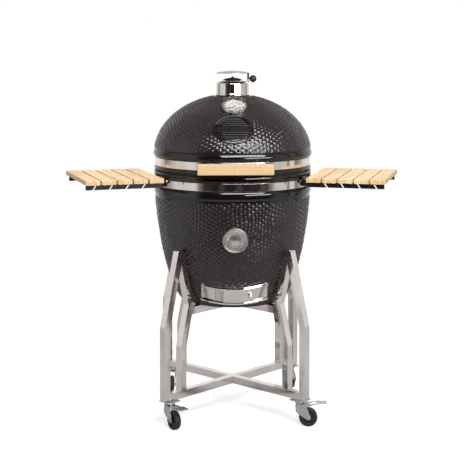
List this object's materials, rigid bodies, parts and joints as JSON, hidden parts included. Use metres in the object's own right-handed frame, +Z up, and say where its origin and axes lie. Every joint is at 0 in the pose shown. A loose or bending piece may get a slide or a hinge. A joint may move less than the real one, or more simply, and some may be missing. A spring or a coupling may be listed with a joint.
{
  "type": "kamado grill",
  "caption": "Egg-shaped ceramic charcoal grill with hinged lid, chimney cap, thermometer, sliding draught doors and folding bamboo side shelves on a wheeled steel cart.",
  "frame": {"origin": "on the floor, under the axis of the round body, which is also the centre of the whole object's box", "axes": "+Z up, -Y is the front with the thermometer, handle and draught door, +X is the right-hand shelf as seen from the front"},
  "size_m": [1.3138, 0.7296, 1.33],
  "materials": {
    "glaze": "glossy, dimpled",
    "fired_clay": "matt, unglazed",
    "cast_iron": "matt, cast",
    "satin_steel": "satin",
    "felt": "matt felt",
    "polished_steel": "polished",
    "dark_steel": "dark, semi-matt",
    "bamboo": "sanded, oiled",
    "dial_face": "pale, pearly",
    "clear_glass": "clear",
    "needle_red": "satin",
    "knob_black": "semi-gloss",
    "zinc": "zinc plated",
    "rubber": "matt"
  },
  "bodies": {
    "root": {"base_shell": "glaze", "fire_box": "fired_clay", "fire_ring": "fired_clay", "charcoal_grate": "cast_iron", "cooking_grate": "satin_steel", "base_gasket": "felt", "base_band": "polished_steel", "hinge_pin": "satin_steel", "hinge_spring": "dark_steel", "front_medallion": "satin_steel", "draft_frame": "polished_steel", "lower_cross": "polished_steel", "upper_cross": "polished_steel", "front_left_leg": "polished_steel", "front_right_leg": "polished_steel", "rear_left_leg": "polished_steel", "rear_right_leg": "polished_steel", "front_left_caster_plate": "zinc", "front_right_caster_plate": "zinc", "rear_left_caster_plate": "zinc", "rear_right_caster_plate": "zinc"},
    "lid": {"lid_shell": "glaze", "lid_gasket": "felt", "lid_band": "polished_steel", "handle_grip": "bamboo", "handle_bracket": "polished_steel", "thermometer_case": "polished_steel", "thermometer_dial": "dial_face", "thermometer_lens": "clear_glass", "vent_gasket": "felt", "vent_housing": "polished_steel", "rain_cap_pin": "satin_steel"},
    "needle": {"thermometer_needle": "needle_red"},
    "daisy": {"daisy_wheel": "cast_iron"},
    "cap": {"rain_cap": "polished_steel", "rain_cap_knob": "knob_black"},
    "door": {"draft_door": "polished_steel"},
    "screen": {"draft_screen": "polished_steel"},
    "left_shelf": {"left_shelf_frame": "dark_steel", "left_shelf_slat_1": "bamboo", "left_shelf_slat_2": "bamboo", "left_shelf_slat_3": "bamboo", "left_shelf_slat_4": "bamboo", "left_shelf_slat_5": "bamboo"},
    "right_shelf": {"right_shelf_frame": "dark_steel", "right_shelf_slat_1": "bamboo", "right_shelf_slat_2": "bamboo", "right_shelf_slat_3": "bamboo", "right_shelf_slat_4": "bamboo", "right_shelf_slat_5": "bamboo"},
    "front_left_swivel": {"front_left_caster_fork": "zinc"},
    "front_left_wheel": {"front_left_caster_wheel": "rubber"},
    "front_left_pedal": {"front_left_brake_pedal": "zinc"},
    "front_right_swivel": {"front_right_caster_fork": "zinc"},
    "front_right_wheel": {"front_right_caster_wheel": "rubber"},
    "front_right_pedal": {"front_right_brake_pedal": "zinc"},
    "rear_left_swivel": {"rear_left_caster_fork": "zinc"},
    "rear_left_wheel": {"rear_left_caster_wheel": "rubber"},
    "rear_right_swivel": {"rear_right_caster_fork": "zinc"},
    "rear_right_wheel": {"rear_right_caster_wheel": "rubber"}
  },
  "joints": [
    {"name": "lid_hinge", "type": "hinge", "parent": "root", "child": "lid", "pos_m": [0, 0.349, 0.96], "axis": [-1, 0, 0], "range_deg": [0, 70]},
    {"name": "thermometer_pointer", "type": "hinge", "parent": "lid", "child": "needle", "pos_m": [0, -0.19, 1.18938], "axis": [0, 0.502, -0.8649], "range_deg": [0, 270]},
    {"name": "daisy_wheel_turn", "type": "hinge", "parent": "lid", "child": "daisy", "pos_m": [0, 0, 1.29], "axis": [0, 0, 1], "range_deg": [0, 36]},
    {"name": "rain_cap_flip", "type": "hinge", "parent": "lid", "child": "cap", "pos_m": [0.062, 0, 1.289], "axis": [0, 1, 0], "range_deg": [0, 55]},
    {"name": "draft_door_slide", "type": "hinge", "parent": "root", "child": "door", "pos_m": [0, 0.0005, 0.59547], "axis": [0, -0.4384, 0.8988], "range_deg": [-16.5, 9.5]},
    {"name": "draft_screen_slide", "type": "hinge", "parent": "root", "child": "screen", "pos_m": [0, 0.0005, 0.59547], "axis": [0, -0.4384, 0.8988], "range_deg": [-8, 18]},
    {"name": "left_shelf_fold", "type": "hinge", "parent": "root", "child": "left_shelf", "pos_m": [-0.30953, -0.08876, 0.908], "axis": [0.2756, -0.9613, 0], "range_deg": [0, 90]},
    {"name": "right_shelf_fold", "type": "hinge", "parent": "root", "child": "right_shelf", "pos_m": [0.30953, -0.08876, 0.908], "axis": [0.2756, 0.9613, 0], "range_deg": [0, 90]},
    {"name": "front_left_caster_swivel", "type": "hinge", "parent": "root", "child": "front_left_swivel", "pos_m": [-0.244, -0.244, 0.09], "axis": [0, 0, 1], "continuous": true},
    {"name": "front_left_wheel_spin", "type": "hinge", "parent": "front_left_swivel", "child": "front_left_wheel", "pos_m": [-0.22704, -0.27114, 0.035], "axis": [0.848, 0.5299, 0], "continuous": true},
    {"name": "front_left_brake", "type": "hinge", "parent": "front_left_swivel", "child": "front_left_pedal", "pos_m": [-0.24188, -0.24739, 0.0765], "axis": [0.848, 0.5299, 0], "range_deg": [0, 13]},
    {"name": "front_right_caster_swivel", "type": "hinge", "parent": "root", "child": "front_right_swivel", "pos_m": [0.244, -0.244, 0.09], "axis": [0, 0, 1], "continuous": true},
    {"name": "front_right_wheel_spin", "type": "hinge", "parent": "front_right_swivel", "child": "front_right_wheel", "pos_m": [0.27592, -0.24623, 0.035], "axis": [0.0698, 0.9976, 0], "continuous": true},
    {"name": "front_right_brake", "type": "hinge", "parent": "front_right_swivel", "child": "front_right_pedal", "pos_m": [0.24799, -0.24428, 0.0765], "axis": [0.0698, 0.9976, 0], "range_deg": [0, 13]},
    {"name": "rear_left_caster_swivel", "type": "hinge", "parent": "root", "child": "rear_left_swivel", "pos_m": [-0.244, 0.244, 0.09], "axis": [0, 0, 1], "continuous": true},
    {"name": "rear_left_wheel_spin", "type": "hinge", "parent": "rear_left_swivel", "child": "rear_left_wheel", "pos_m": [-0.24735, 0.21218, 0.035], "axis": [0.9945, -0.1045, 0], "continuous": true},
    {"name": "rear_right_caster_swivel", "type": "hinge", "parent": "root", "child": "rear_right_swivel", "pos_m": [0.244, 0.244, 0.09], "axis": [0, 0, 1], "continuous": true},
    {"name": "rear_right_wheel_spin", "type": "hinge", "parent": "rear_right_swivel", "child": "rear_right_wheel", "pos_m": [0.25494, 0.27407, 0.035], "axis": [-0.9397, 0.342, 0], "continuous": true}
  ]
}
